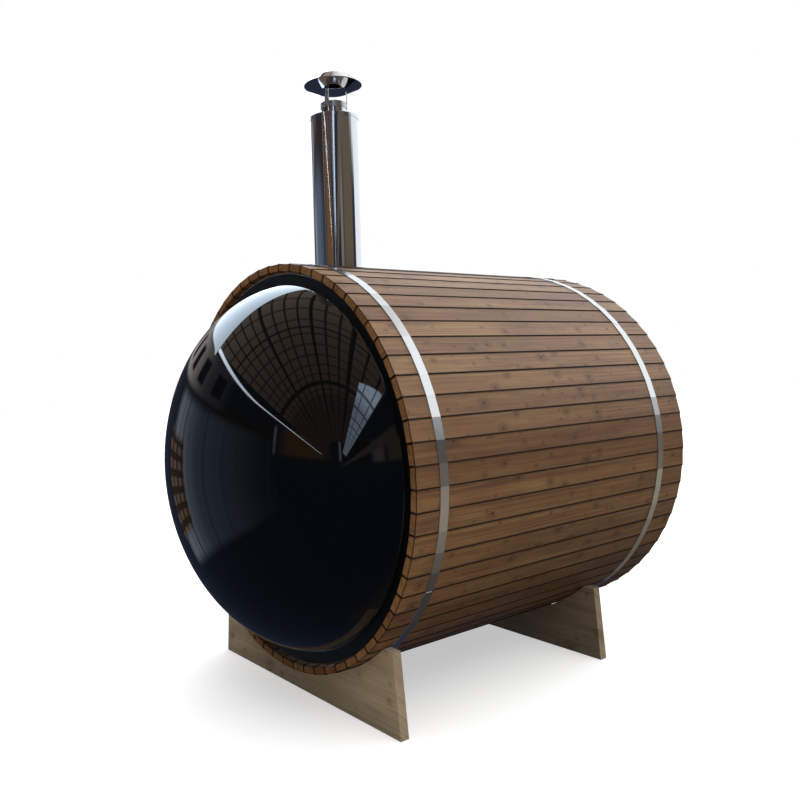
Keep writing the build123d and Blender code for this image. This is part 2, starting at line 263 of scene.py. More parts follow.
# Planed softwood on the boards' own UV: x runs along the grain in metres, y across it. Growth
# lines are noise stretched along the board, knots, pin knots and spike knots are Voronoi points,
# grey smears are broad noise, and each board shifts the pattern and its tone by its own seed.
def woodMaterial(name, look):
    mat, tree, shader = newMaterial(name, {"Roughness": look["roughness"], "IOR": 1.5,
                                           "Specular IOR Level": look.get("specular", 0.5)})
    if look.get("onObject"):
        at = addNode(tree, "SeparateXYZ", (addNode(tree, "TexCoord").outputs["Object"],))
        run, seed, span = at.outputs
    else:
        at = addNode(tree, "SeparateXYZ", (addNode(tree, "UVMap", uv_map="alongAcross"),))
        run, span = at.outputs[:2]
        seed = addNode(tree, "Attribute", attribute_name="boardSeed").outputs["Fac"]
    shifts, weights = woodGrain["shifts"], woodGrain["weights"]
    along = addNode(tree, "Math", (seed, shifts[0], run), operation="MULTIPLY_ADD")
    across = addNode(tree, "Math", (seed, shifts[1], span), operation="MULTIPLY_ADD")
    deep = addNode(tree, "Math", (seed, shifts[2]), operation="MULTIPLY")
    board = addNode(tree, "CombineXYZ", (along, across, deep))
    shake = grainNoise(tree, board, woodGrain["shake"], 2.0)
    wobble = addNode(tree, "Math", (shake, 0.5), operation="SUBTRACT")
    spacing, size, edge = look["knotSpacing"], look["knotSize"], look["knotEdge"]
    knot, halo = knotSpots(tree, board, wobble, spacing, look["knotShare"], size, 1.3, edge)
    pin, pinHalo = knotSpots(tree, board, wobble, spacing * 0.62, 0.45, size * 0.42, 1.1, edge * 1.6)
    spike, spikeHalo = knotSpots(tree, board, wobble, spacing * 1.7, 0.34, size * 0.8, 0.34, edge * 0.8)
    halo = addNode(tree, "Math", (halo, addNode(tree, "Math", (spikeHalo, pinHalo), operation="MAXIMUM")),
                   operation="MAXIMUM")

    # growth lines bend round the knots and wander slowly along the board
    drift = grainNoise(tree, board, woodGrain["drift"], 2.0)
    drift = addNode(tree, "Math", (drift, 0.5), operation="SUBTRACT")
    drift = addNode(tree, "Math", (drift, look["wander"]), operation="MULTIPLY")
    bend = addNode(tree, "Math", (halo, woodGrain["knotBend"], drift), operation="MULTIPLY_ADD")
    bentAcross = addNode(tree, "Math", (across, bend), operation="ADD")
    lineAt = addNode(tree, "Math", (bentAcross, 1 / look["ringSpacing"]), operation="MULTIPLY")
    slowly = addNode(tree, "Math", (along, woodGrain["ringStretch"]), operation="MULTIPLY")
    bent = addNode(tree, "CombineXYZ", (slowly, lineAt, deep))
    rings = addNode(tree, "TexNoise", {"Vector": bent, "Scale": 0.5, "Detail": 3.0, "Roughness": 0.6})
    fine = grainNoise(tree, board, woodGrain["fine"], 2.0)
    broad = grainNoise(tree, board, woodGrain["broad"], 2.0)
    streak = addNode(tree, "Math", (broad, weights["broad"]), operation="MULTIPLY")
    for part, weight in ((fine, weights["fine"]), (rings, weights["rings"])):
        streak = addNode(tree, "Math", (part, weight, streak), operation="MULTIPLY_ADD")

    # grey smears, then the board's own tone, redder or darker by its seed
    smear = grainNoise(tree, board, woodGrain["smear"], 3.0)
    smear = addNode(tree, "Math", (smear, 0.52), operation="SUBTRACT")
    smeared = addNode(tree, "Math", (smear, look["smear"] * 6), operation="MULTIPLY", use_clamp=True)
    toneSeed = addNode(tree, "Math", (seed, woodGrain["toneShift"]), operation="MULTIPLY")
    pick = addNode(tree, "TexWhiteNoise", {"W": toneSeed}, noise_dimensions="1D")
    odd = addNode(tree, "Math", (pick, 0.5), operation="SUBTRACT")
    redder = addNode(tree, "Math", (odd, look["toneSpread"]), operation="MULTIPLY", use_clamp=True)
    value = addNode(tree, "Math", (odd, -look["toneSpread"], 1.0), operation="MULTIPLY_ADD")
    colour = layered(tree, addNode(tree, "ValToRGB", (streak,), stops=look["grain"]),
                     (smeared, linear(look["smearColour"])), (redder, linear(look["redTone"])))
    toned = addNode(tree, "HueSaturation", {"Value": value, "Color": colour})

    # halos and knots over it
    haloed = addNode(tree, "Math", (halo, look["haloStrength"]), operation="MULTIPLY")
    dark = addNode(tree, "Math", (spike, 0.6), operation="MULTIPLY")
    for spots in (pin, knot):
        dark = addNode(tree, "Math", (spots, dark), operation="MAXIMUM")
    darkened = addNode(tree, "Math", (dark, look["knotDepth"]), operation="MULTIPLY")
    knotted = layered(tree, toned, (haloed, linear(look["haloColour"])),
                      (darkened, linear(look["knotColour"])))
    tree.links.new(knotted.outputs[2], shader.inputs["Base Color"])
    relief = addNode(tree, "Math", (dark, 0.5, streak), operation="MULTIPLY_ADD")
    bump = addNode(tree, "Bump", {"Strength": look["bump"], "Distance": 0.0006, "Height": relief})
    tree.links.new(bump.outputs[0], shader.inputs["Normal"])
    return mat


# thermally treated spruce, planed and oiled: warm brown, fine lengthwise lines, small dark knots
spruceLook = {
    "roughness": 0.46, "knotSpacing": 0.105, "knotShare": 0.62, "knotSize": 0.0135, "knotEdge": 9.0,
    "wander": 0.012, "ringSpacing": 0.0042, "knotDepth": 0.85,
    "grain": [(0.36, "#6f4c31"), (0.46, "#876043"), (0.56, "#977048"), (0.68, "#a68359")],
    "smear": 0.34, "smearColour": "#5c4837", "redTone": "#7c492c",
    "toneSpread": 0.34, "haloStrength": 0.42, "haloColour": "#64442c", "knotColour": "#2c1b11", "bump": 0.3}
heatTreatedSpruce = woodMaterial("heatTreatedSpruce", spruceLook)
# the same spruce, not oiled: a little redder and darker, on cut ends and inside the barrel
heatTreatedEnd = woodMaterial("heatTreatedEnd", {
    **spruceLook, "roughness": 0.7, "specular": 0.08, "knotShare": 0.1, "knotSize": 0.004, "smear": 0.1,
    "grain": [(0.36, "#6b4528"), (0.48, "#87603f"), (0.62, "#96704a")], "haloStrength": 0.2})
# painted shade in the joints between staves: the arrises nearly black, as the deep grooves would be in shade
paintedJointShade = woodMaterial("paintedJointShade", {
    **spruceLook, "roughness": 0.9, "redTone": "#241609", "smearColour": "#1d130b",
    "grain": [(0.4, "#24170d"), (0.6, "#2f1f12")]})
# on the ring behind the window, which has no UV of its own
ringSpruce = woodMaterial("ringSpruce", {**spruceLook, "roughness": 0.6, "onObject": True})
# untreated planed pine of the cradles: pale greyish beige with brown knots
barePine = woodMaterial("barePine", {
    "roughness": 0.6, "knotSpacing": 0.19, "knotShare": 0.6, "knotSize": 0.02, "knotEdge": 7.0,
    "wander": 0.02, "ringSpacing": 0.006, "knotDepth": 0.8,
    "grain": [(0.34, "#a08c6c"), (0.46, "#b8a384"), (0.56, "#c4b092"), (0.70, "#cdbb9d")],
    "smear": 0.3, "smearColour": "#8f7d62", "redTone": "#a98b66",
    "toneSpread": 0.12, "haloStrength": 0.4, "haloColour": "#8c6f50", "knotColour": "#4b3524", "bump": 0.3})


# lets a fine noise, scale spots to the metre, move the roughness between two values
def speckle(tree, shader, scale, low, high):
    at = addNode(tree, "TexCoord").outputs["Object"]
    noise = addNode(tree, "TexNoise", {"Vector": at, "Scale": scale, "Detail": 3.0})
    rough = addNode(tree, "MapRange", (noise, 0.35, 0.65, low, high))
    tree.links.new(rough.outputs[0], shader.inputs["Roughness"])


# blown acrylic sheet, dark smoke tint: near black, mirror gloss, no colour of its own
smokedAcrylic, tree, shader = newMaterial("smokedAcrylic", {
    "Roughness": 0.025, "IOR": 1.49, "Base Color": "#040507", "Specular IOR Level": 0.75})
speckle(tree, shader, 14.0, 0.018, 0.034)
# the same sheet on its flange: dull black, as dark as the band between the dome and the rim
dullBlackFlange, tree, shader = newMaterial("dullBlackFlange", {
    "Roughness": 0.45, "IOR": 1.49, "Base Color": "#060709", "Specular IOR Level": 0.25})
speckle(tree, shader, 90.0, 0.38, 0.55)
# tempered glass, smoke tinted, in the door: dark and clean
smokedGlass, tree, shader = newMaterial("smokedGlass", {
    "Roughness": 0.02, "IOR": 1.52, "Base Color": "#15171a"})
speckle(tree, shader, 22.0, 0.012, 0.03)
# cellular rubber of the window seal: matt black
foamRubber, tree, shader = newMaterial("foamRubber", {"Roughness": 0.85, "Base Color": "#141414"})
speckle(tree, shader, 400.0, 0.75, 0.95)
# mineral wool in the flue's jacket: matt, fibrous, greyish yellow
mineralWool, tree, shader = newMaterial("mineralWool", {"Roughness": 0.95})
fibres = addNode(tree, "TexNoise", {"Vector": addNode(tree, "TexCoord").outputs["Object"], "Scale": 300.0,
                                    "Detail": 4.0})
wool = addNode(tree, "ValToRGB", (fibres,), stops=[(0.3, "#8a8470"), (0.7, "#c9c2ac")])
tree.links.new(wool.outputs[0], shader.inputs["Base Color"])


# Stainless sheet: roughness and a faint bump vary in streaks along one axis. The roughness is
# rough + (noise - 0.5) x streak.
def steelMaterial(name, code, rough, streak, axis, scale):
    mat, tree, shader = newMaterial(name, {"Metallic": 1.0, "Roughness": rough, "Base Color": code})
    stretch = [scale * 0.02 if letter == axis else scale for letter in "XYZ"]
    at = addNode(tree, "TexCoord").outputs["Object"]
    stretched = addNode(tree, "VectorMath", (at, stretch), operation="MULTIPLY")
    noise = addNode(tree, "TexNoise", {"Vector": stretched, "Scale": 1.0, "Detail": 3.0})
    centred = addNode(tree, "Math", (noise, 0.5), operation="SUBTRACT")
    spread = addNode(tree, "Math", (centred, streak, rough), operation="MULTIPLY_ADD", use_clamp=True)
    tree.links.new(spread.outputs[0], shader.inputs["Roughness"])
    bump = addNode(tree, "Bump", {"Strength": 0.08, "Distance": 0.0004, "Height": noise})
    tree.links.new(bump.outputs[0], shader.inputs["Normal"])
    return mat


# bright annealed sheet of the flue: mirror bright; cold-rolled strap: bright, a little soft;
# brushed hinges and plates: dull silver
polishedSteel = steelMaterial("polishedSteel", "#cfcfd0", 0.07, 0.06, "Z", 60.0)
strapSteel = steelMaterial("strapSteel", "#d6d6d4", 0.2, 0.1, "Y", 220.0)
satinSteel = steelMaterial("satinSteel", "#bdbdbd", 0.32, 0.1, "Z", 200.0)
report("materials")


def dress(obj, material):
    obj.data.materials.clear()
    obj.data.materials.append(material)


# dresses an object and lets it stand for a CAD node
def standFor(obj, node, material):
    dress(obj, material)
    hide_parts(node)


# each stave is a wedge as wide as its share of the ring; its arrises, in painted shade, make the dark
# joint line, and it stands out of true by up to lift
staves = {"ease": 0.0028, "lift": 0.0006, "lengthSteps": 12, "groups": {
    "roof_staves": (-1, 1), "left_shoulder_staves": (2, 10), "left_upper_staves": (11, 16),
    "left_lower_staves": (17, 22), "left_haunch_staves": (23, 29), "bottom_staves": (30, 36),
    "right_haunch_staves": (37, 43), "right_lower_staves": (44, 49), "right_upper_staves": (50, 55),
    "right_shoulder_staves": (56, 64)}}
flueHole = {"radius": 0.1165, "low": 1.8, "high": 2.1, "steps": 64}
lift = rng.random(200) * staves["lift"]
seedOf = rng.random(200)
drawn = 10                                              # stave k has draw k + 10
flatR = barrel["radius"] * np.cos(staveAngle / 2)
middleR = barrel["radius"] - barrel["thickness"] / 2


# cuts the flue's round hole through a mesh and keeps the cut mesh as its own
def cutFlueHole(obj):
    steps = flueHole["steps"]
    t = np.linspace(0, 2 * np.pi, steps, endpoint=False)
    ring = np.stack([flueHole["radius"] * np.cos(t), flueY + flueHole["radius"] * np.sin(t), 0 * t], -1)
    points = np.concatenate([ring + [0, 0, flueHole["low"]], ring + [0, 0, flueHole["high"]]])
    ends = [list(range(steps - 1, -1, -1)), list(range(steps, 2 * steps))]
    cutter = tidyNormals(putMesh("flueHoleCutter", points, gridFaces(2, steps, closeCols=True) + ends))
    cut = obj.modifiers.new("flueHole", "BOOLEAN")
    cut.operation, cut.solver, cut.object = "DIFFERENCE", "FAST", cutter
    bpy.context.view_layer.update()
    whole = obj.evaluated_get(bpy.context.evaluated_depsgraph_get())
    cutMesh = bpy.data.meshes.new_from_object(whole)
    obj.modifiers.clear()
    obj.data = cutMesh
    bpy.data.objects.remove(cutter)


# gives a stave's ends and inner face the bare wood and its arrises the painted joint shade, by how
# far each face's normal is turned from the radius
def dressFaces(obj):
    normals = np.zeros(len(obj.data.polygons) * 3, np.float32)
    obj.data.polygons.foreach_get("normal", normals)
    normals = normals.reshape(-1, 3)
    centres = np.zeros(len(obj.data.polygons) * 3, np.float32)
    obj.data.polygons.foreach_get("center", centres)
    centres = centres.reshape(-1, 3) - [0, 0, axisZ]
    outward = normals[:, 0] * centres[:, 0] + normals[:, 2] * centres[:, 2]
    outward /= np.hypot(centres[:, 0], centres[:, 2])
    bare = (np.abs(normals[:, 1]) > 0.9) | (outward < -0.97)
    part = np.where(bare, 1, np.where(outward < 0.97, 2, 0)).astype(np.int32)
    obj.data.materials.append(heatTreatedEnd)
    # the arrises take the painted joint shade
    obj.data.materials.append(paintedJointShade)
    obj.data.polygons.foreach_set("material_index", part)


for group, (first, last) in staves["groups"].items():
    numbers = np.arange(first, last + 1)
    frames = []
    for k in numbers:
        angle = np.pi / 2 + k * staveAngle
        out = np.array([np.cos(angle), 0, np.sin(angle)])
        side = np.array([-np.sin(angle), 0, np.cos(angle)])
        origin = out * (flatR - barrel["thickness"] / 2 - lift[k + drawn]) + np.array([0, frontY, axisZ])
        frames.append(place(origin, (0, 1, 0), -side))  # z points at the barrel's axis
    size = (rearY - frontY, 2 * middleR * np.sin(staveAngle / 2), barrel["thickness"])
    obj = softBoards(group.title().replace("_", ""), frames, [size] * len(numbers), staves["ease"],
                     seedOf[numbers + drawn], [-1 / middleR] * len(numbers), staves["lengthSteps"])
    if group == "roof_staves":
        cutFlueHole(obj)
    standFor(obj, group, heatTreatedSpruce)
    dressFaces(obj)
report("staves")

bubble = {"rise": 0.4799, "wall": 0.005, "recess": 0.0235, "flangeWall": 0.006, "flangeRadius": 0.8800,
          "play": 0.0002, "crownRadius": 1.12, "edgeCurve": 10.73735, "middle": 1.59441, "spread": 2.499,
          "length": 1.02252, "rows": 130, "innerRows": 40, "steps": 320, "flangeSteps": 192}


# The running sum of values along the section, by trapezia.
def summed(values, at):
    return np.concatenate([[0], np.cumsum((values[1:] + values[:-1]) / 2 * np.diff(at))])


# Half section of the blown dome, from the crown to the edge. Its curvature grows along the arc
# from that of the crown towards edgeCurve as a smooth step of width spread about middle. The
# angle is the running sum of the curvature, and radius and drop are the sums of its cos and sin.
def blownSection(count):
    fine = np.linspace(0, bubble["length"], 4001)
    x = np.clip((fine - bubble["middle"] + bubble["spread"] / 2) / bubble["spread"], 0, 1)
    crownCurve = 1 / bubble["crownRadius"]
    angle = summed(crownCurve + (bubble["edgeCurve"] - crownCurve) * x * x * (3 - 2 * x), fine)
    pick = np.linspace(0, 4000, count).astype(int)
    return angle[pick], summed(np.cos(angle), fine)[pick], summed(np.sin(angle), fine)[pick]


base = frontY + bubble["recess"]
back = base + bubble["flangeWall"]
crownY = base - bubble["rise"]
wall = bubble["wall"]
angle, r, drop = blownSection(bubble["rows"])
edgeR = r[-1]
profile = list(zip(r, crownY + drop))
angle, r, drop = blownSection(bubble["innerRows"])
within = list(zip(r - wall * np.sin(angle), crownY + drop + wall * np.cos(angle)))[::-1]
profile += [(edgeR, back), (within[0][0], back)] + within
profile[-1] = (0.0, profile[-1][1])
dome = turned("bubbleDome", profile, "Y", (0, 0, axisZ), bubble["steps"], closed=False, sharp=50)
standFor(dome, "bubble_window", smokedAcrylic)
r0, r1 = edgeR + bubble["play"], bubble["flangeRadius"]
flatRing = [(r0, base), (r1 - 0.001, base), (r1, base + 0.001), (r1, back - 0.001),
            (r1 - 0.001, back), (r0, back)]
flange = turned("bubbleFlange", flatRing, "Y", (0, 0, axisZ), bubble["flangeSteps"], sharp=30)
standFor(flange, "bubble_flange", dullBlackFlange)
report("bubble window")

straps = {"width": 0.045, "thickness": 0.0015, "ease": 0.0004, "play": 0.0003, "lap": 0.15,
          "stepsPerStave": 8, "lapSteps": 48, "pointLength": 0.012, "pointCut": 0.010,
          "each": {"front_band": ("frontStrap", 0.1175, -32), "rear_band": ("rearStrap", 1.568, 47)}}


# Points of a strip at the angles t: at each its radius is that of the polygon of stave faces,
# flatR / cos(angle from the stave's middle), plus raised, and its edges come in by narrow.
def stripRows(t, y0, raised, narrow):
    w, s, thick = straps["width"], straps["ease"], straps["thickness"]
    section = [(0, s), (0, thick - s), (s, thick), (w - s, thick), (w, thick - s), (w, s), (w - s, 0), (s, 0)]
    off = (t - np.pi / 2 + staveAngle / 2) % staveAngle - staveAngle / 2
    radius = flatR / np.cos(off) + straps["play"] + raised
    rows = []
    for dy, dr in section:
        y = y0 + dy + (narrow if dy < w / 2 else -narrow)
        rows.append(np.stack([np.cos(t) * (radius + dr), y, np.sin(t) * (radius + dr)], -1))
    return np.stack(rows, 1)


# A flat strip bent over the staves' facets, and over its lap the outer end of the strip, one
# thickness further out, its corners cut to a blunt point.
def strapMesh(name, y0, lapAngle):
    steps = barrel["count"] * straps["stepsPerStave"]
    t = np.linspace(0, 2 * np.pi, steps, endpoint=False) + np.pi / 2 + staveAngle / 2
    hoop = stripRows(t, y0, 0, np.zeros(steps))
    n = hoop.shape[1]
    start = steps * n
    faces = gridFaces(steps, n, closeRows=True, closeCols=True)
    half = straps["lap"] / barrel["radius"] / 2
    a = np.radians(lapAngle) + np.linspace(-half, half, straps["lapSteps"])
    fromEnd = np.minimum(a - a[0], a[-1] - a) * barrel["radius"]
    narrow = np.clip(1 - fromEnd / straps["pointLength"], 0, 1) * straps["pointCut"]
    lap = stripRows(a, y0, straps["thickness"], narrow)
    lastRow = start + (len(a) - 1) * n
    faces += gridFaces(len(a), n, closeCols=True, start=start)
    faces += [[start + i for i in range(n)], [lastRow + i for i in range(n - 1, -1, -1)]]
    points = np.concatenate([hoop.reshape(-1, 3), lap.reshape(-1, 3)]) + [0, 0, axisZ]
    return tidyNormals(putMesh(name, points, faces, sharp=3), 1e-6)


for node, (name, at, lapAngle) in straps["each"].items():
    standFor(strapMesh(name, frontY + at, lapAngle), node, strapSteel)
report("straps")

flue = {"radius": 0.1125, "inner": 0.060, "top": 2.674, "low": 1.876, "stub": 0.066, "wall": 0.001,
        "rise": 0.012}
# half sections as (radius, height): the shell, the pipe with its rolled lip, the closing ring
# with its turned-down edge, and the cap
big, r, top, low, wall, rise = (flue[k] for k in ("radius", "inner", "top", "low", "wall", "rise"))
rim = top + flue["stub"]
shellProfile = [(big, low), (big, top), (big - wall, top), (big - wall, low)]
pipeProfile = [(r, low - 0.03), (r, rim - 0.0015), (r + 0.0012, rim - 0.0006), (r + 0.0008, rim),
               (r - wall, rim), (r - wall, low - 0.03)]
ringProfile = [(r + 0.0003, top + rise), (r + 0.0017, top + rise), (r + 0.012, top + rise - 0.0016),
               (big - 0.008, top + 0.0035), (big, top + 0.0018), (big + 0.0014, top + 0.0004),
               (big + 0.0015, top - 0.0135), (big + 0.0008, top - 0.014), (big + 0.0002, top - 0.0135),
               (big + 0.0002, top + 0.0001), (r + 0.0003, top + rise - 0.0017)]
rain = {"radius": 0.136, "flat": 0.076, "crown": 0.052, "under": 2.794, "rimZ": 2.822, "topZ": 2.882}
wide, flat, crown, under, rimZ, topZ = rain.values()
capProfile = [(0, under), (flat - 0.004, under), (flat - 0.001, under + 0.0006),
              (flat + 0.002, under + 0.0016), (wide - 0.003, rimZ - 0.0022),
              (wide - 0.0006, rimZ - 0.0014), (wide, rimZ),
              (wide - 0.0006, rimZ + 0.0014), (wide - 0.003, rimZ + 0.0026),
              (wide * 0.72, rimZ + (topZ - rimZ) * 0.55), (crown + 0.006, topZ - 0.0085),
              (crown - 0.004, topZ - 0.0052), (crown * 0.5, topZ - 0.0016), (0, topZ)]
for name, node, profile, steps, sharp in (
        ("flueShell", "flue_shell", shellProfile, 128, 35), ("fluePipe", "flue_pipe", pipeProfile, 96, 35),
        ("flueTopRing", "flue_top_ring", ringProfile, 128, 35), ("rainCap", "rain_cap", capProfile, 160, 60)):
    piece = turned(name, profile, "Z", (0, flueY, 0), steps, closed=node != "rain_cap", sharp=sharp)
    standFor(piece, node, polishedSteel)
report("flue")

cradles = {"thickness": 0.045, "foot": 0.710, "head": 0.672, "height": 0.355, "plank": 0.152, "play": 0.0004,
           "earGap": 0.0006, "each": {"front": (0.071, 0.31, 0.0), "rear": (1.395, 0.72, 0.37)}}


# A sawn board standing across the barrel: its outline in X and Z, its arrises eased. The
# outline is offset inwards by soft on both faces; UV runs along X and up Z.
def plate(name, outline, y0, y1, seed, soft=boardEase):
    p = np.asarray(outline, float)
    edge = np.roll(p, -1, 0) - p
    normal = np.stack([edge[:, 1], -edge[:, 0]], -1) / np.linalg.norm(edge, axis=1)[:, None]
    bisector = np.roll(normal, 1, 0) + normal
    bisector = bisector / np.maximum((bisector * bisector).sum(1), 0.4)[:, None] * 2
    small = p - bisector * soft
    m = len(p)
    rows = [(small, y0), (p, y0 + soft), (p, y1 - soft), (small, y1)]
    points = np.concatenate([np.stack([q[:, 0], np.full(m, y), q[:, 1]], -1) for q, y in rows])
    faces = gridFaces(4, m, closeCols=True) + [list(range(m)), list(range(4 * m - 1, 3 * m - 1, -1))]
    uv = np.stack([points[:, 0], points[:, 2] + (points[:, 1] - y0)], -1)
    return tidyNormals(putMesh(name, points, faces, uv=uv, seed=np.full(len(points), seed), sharp=25), 1e-7)


# Points of the saddle's circle between two heights on one side, from the low one up.
def saddle(low, high, side, count=40):
    reach = barrel["radius"] + cradles["play"]
    a0, a1 = np.arcsin(np.clip((np.array([low, high]) - axisZ) / reach, -1, 1))
    a = np.linspace(a0, a1, count)
    return np.stack([side * reach * np.cos(a), axisZ + reach * np.sin(a)], -1)


# joins the meshes of several objects into the first, which is renamed
def joined(name, parts):
    whole = bmesh.new()
    for part in parts:
        whole.from_mesh(part.data)
    whole.to_mesh(parts[0].data)
    whole.free()
    for part in parts[1:]:
        bpy.data.objects.remove(part)
    parts[0].name = name
    return parts[0]


foot, head, height, plankTop = (cradles[k] for k in ("foot", "head", "height", "plank"))
lean = (foot - head) / height
lowestZ = axisZ - barrel["radius"] - cradles["play"]
for where, (at, plankSeed, earShift) in cradles["each"].items():
    y0 = frontY + at
    y1 = y0 + cradles["thickness"]
    left = saddle(lowestZ, plankTop, -1)
    right = saddle(lowestZ, plankTop, 1)[1:]
    outline = [(-foot, 0), (foot, 0), (foot - lean * plankTop, plankTop)] + right[::-1].tolist()
    outline += left.tolist() + [(-foot + lean * plankTop, plankTop)]
    plank = plate(where + "CradlePlank", outline, y0, y1, plankSeed)
    standFor(plank, where + "_cradle_plank", barePine)
    ears = []
    for side in (1, -1):
        low = plankTop + cradles["earGap"]
        line = [(side * (foot - lean * low), low), (side * head, height)]
        line += saddle(low, height, side, 24)[::-1].tolist()
        name = where + "Ear" + ("Right" if side > 0 else "Left")
        ears.append(plate(name, line[::side], y0, y1, 0.11 + 0.2 * side + earShift))
    standFor(joined(where + "CradleEars", ears), where + "_cradle_ears", barePine)
report("cradles")

door = {"outer": rearY - 0.100, "thickness": 0.038, "radius": 0.8937, "boards": 0.088, "gap": 0.0012,
        "fit": 0.0002, "frameHalf": 0.345, "frameLow": axisZ - 0.800, "frameHigh": axisZ + 0.790,
        "proud": 0.010, "jamb": 0.042, "stop": 0.012, "doorGap": 0.003, "stile": 0.092, "rail": 0.150,
        "leaf": 0.038, "leafPlay": 0.002, "edgePlay": 0.002, "leastWidth": 0.004, "leastHeight": 0.003,
        "arcSteps": 7, "seedStep": 0.21, "boardSeed": 0.137,
        "handle": {"bar": 0.028, "postFromMiddle": 0.1152, "postHalf": 0.014, "inset": 0.003}}
half, low, high, fit = (door[k] for k in ("frameHalf", "frameLow", "frameHigh", "fit"))


# Vertical boards cut to the round wall, one mesh; each is a plate between x edges, its ends
# following the circle where the wall's edge comes inside the panel.
def discBoards(name, x0, x1, z0, z1, seed0):
    edge, width, gap, made = door["radius"], door["boards"], door["gap"] / 2, []
    for i in range(int(np.floor(x0 / width)), int(np.ceil(x1 / width))):
        a = max(x0, i * width) + (gap if i * width > x0 else 0)
        b = min(x1, (i + 1) * width) - (gap if (i + 1) * width < x1 else 0)
        a, b = max(a, door["edgePlay"] - edge), min(b, edge - door["edgePlay"])
        if b - a < door["leastWidth"]:
            continue
        xs = np.linspace(a, b, door["arcSteps"])
        reach = np.sqrt(np.maximum(edge * edge - xs * xs, 1e-8))
        top, bottom = np.minimum(reach + axisZ, z1), np.maximum(axisZ - reach, z0)
        if (top - bottom).min() < door["leastHeight"]:
            continue
        outline = np.concatenate([np.stack([xs, bottom], -1), np.stack([xs[::-1], top[::-1]], -1)])
        board = plate(name + str(i), outline, door["outer"] - door["thickness"], door["outer"],
                      (seed0 + i * door["boardSeed"]) % 1)
        layer = board.data.uv_layers[0].data            # the grain runs up, so U and V change places
        flat = np.zeros(len(layer) * 2, np.float32)
        layer.foreach_get("uv", flat)
        layer.foreach_set("uv", flat.reshape(-1, 2)[:, ::-1].ravel())
        made.append(board)
    return joined(name, made)


panels = {"end_wall_left": (-0.9, -half - fit, 0, 3), "end_wall_right": (half + fit, 0.9, 0, 3),
          "end_wall_top": (-half, half, high + fit, 3), "end_wall_bottom": (-half, half, 0, low - fit)}
for i, (node, bounds) in enumerate(panels.items()):
    panel = discBoards(node.title().replace("_", ""), *bounds, door["seedStep"] * i)
    standFor(panel, node, heatTreatedSpruce)


# Straight boards given as (x0, x1, y0, y1, z0, z1), grain along the longer of X and Z.
def planks(name, pieces, seed0, soft=boardEase):
    frames, sizes = [], []
    for x0, x1, y0, y1, z0, z1 in pieces:
        x, y, z = (x0 + x1) / 2, (y0 + y1) / 2, (z0 + z1) / 2
        if z1 - z0 >= x1 - x0:
            frames.append(place((x, y, z0), (0, 0, 1), (1, 0, 0)))
            sizes.append((z1 - z0, x1 - x0, y1 - y0))
        else:
            frames.append(place((x0, y, z), (1, 0, 0), (0, 0, 1)))
            sizes.append((x1 - x0, z1 - z0, y1 - y0))
    return softBoards(name, frames, sizes, soft, (seed0 + 0.173 * np.arange(len(pieces))) % 1)


back = door["outer"] + door["proud"]
front = door["outer"] - door["thickness"] - door["proud"]
leafFront = back - door["leaf"]
stepY = leafFront - door["leafPlay"]
frameBoards = []
for y0, y1, j in ((stepY, back, door["jamb"]), (front, stepY, door["jamb"] + door["stop"])):
    frameBoards += [(-half, -half + j, y0, y1, low, high), (half - j, half, y0, y1, low, high),
                    (-half + j, half - j, y0, y1, high - j, high),
                    (-half + j, half - j, y0, y1, low, low + j)]
standFor(planks("doorFrame", frameBoards, 0.4), "door_frame", heatTreatedSpruce)
inset = door["jamb"] + door["doorGap"]
x, z0, z1, stile = half - inset, low + inset, high - inset, door["stile"]
leafBoards = [(-x, -x + stile, leafFront, back, z0, z1), (x - stile, x, leafFront, back, z0, z1),
              (-x + stile, x - stile, leafFront, back, z1 - stile, z1),
              (-x + stile, x - stile, leafFront, back, z0, z0 + door["rail"])]
standFor(planks("doorLeaf", leafBoards, 0.7), "door_leaf", heatTreatedSpruce)
(x0, inside, z0), (x1, outside, z1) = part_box("door_handles")
bar, dz, post, inset = door["handle"].values()
handleBoards = []
for outer, way, faceY in ((outside, 1, back), (inside, -1, leafFront)):
    handleBoards.append((x0, x1, *sorted((outer, outer - way * bar)), z0, z1))
    for z in ((z0 + z1) / 2 - dz, (z0 + z1) / 2 + dz):
        ends = sorted((faceY + way * fit, outer - way * (bar + fit)))
        handleBoards.append((x0 + inset, x1 - inset, *ends, z - post, z + post))
standFor(planks("doorHandles", handleBoards, 0.2, 0.002), "door_handles", heatTreatedSpruce)
for node, material in (("door_glass", smokedGlass), ("door_hinges", satinSteel),
                       ("window_seal", foamRubber), ("window_ring", ringSpruce),
                       ("flue_insulation", mineralWool), ("cap_legs", satinSteel),
                       ("roof_flashing", satinSteel), ("ceiling_rosette", satinSteel)):
    dress(frame["nodes"][node], material)
report("door end")

# the photograph's camera: focal length and centre in pixels of its 800 x 800 frame
view = {"frame": 800, "sensor": 36, "focal": 808.859, "centreX": 354.359, "centreY": 413.712,
        "at": (3.11675, frontY - 1.96443, axisZ + 0.48064), "yaw": 52.42, "pitch": -3.71, "roll": -1.80}
yaw, pitch, roll = np.radians([view["yaw"], view["pitch"], view["roll"]])
ahead = np.array([-np.sin(yaw) * np.cos(pitch), np.cos(yaw) * np.cos(pitch), np.sin(pitch)])
level = np.array([np.cos(yaw), np.sin(yaw), 0])
plumb = np.cross(level, ahead)
right = np.cos(roll) * level + np.sin(roll) * plumb
up = -np.sin(roll) * level + np.cos(roll) * plumb
lens = bpy.data.cameras.new("photoCamera")
camera = bpy.data.objects.new("photoCamera", lens)
bpy.context.scene.collection.objects.link(camera)
pose = Matrix.Identity(4)
for column, vector in enumerate((right, up, -ahead)):
    pose.col[column][:3] = vector
pose.col[3][:3] = view["at"]
camera.matrix_world = pose
lens.sensor_width = view["sensor"]
lens.sensor_fit = "HORIZONTAL"
lens.lens = view["sensor"] * view["focal"] / view["frame"]
lens.shift_x = 0.5 - view["centreX"] / view["frame"]
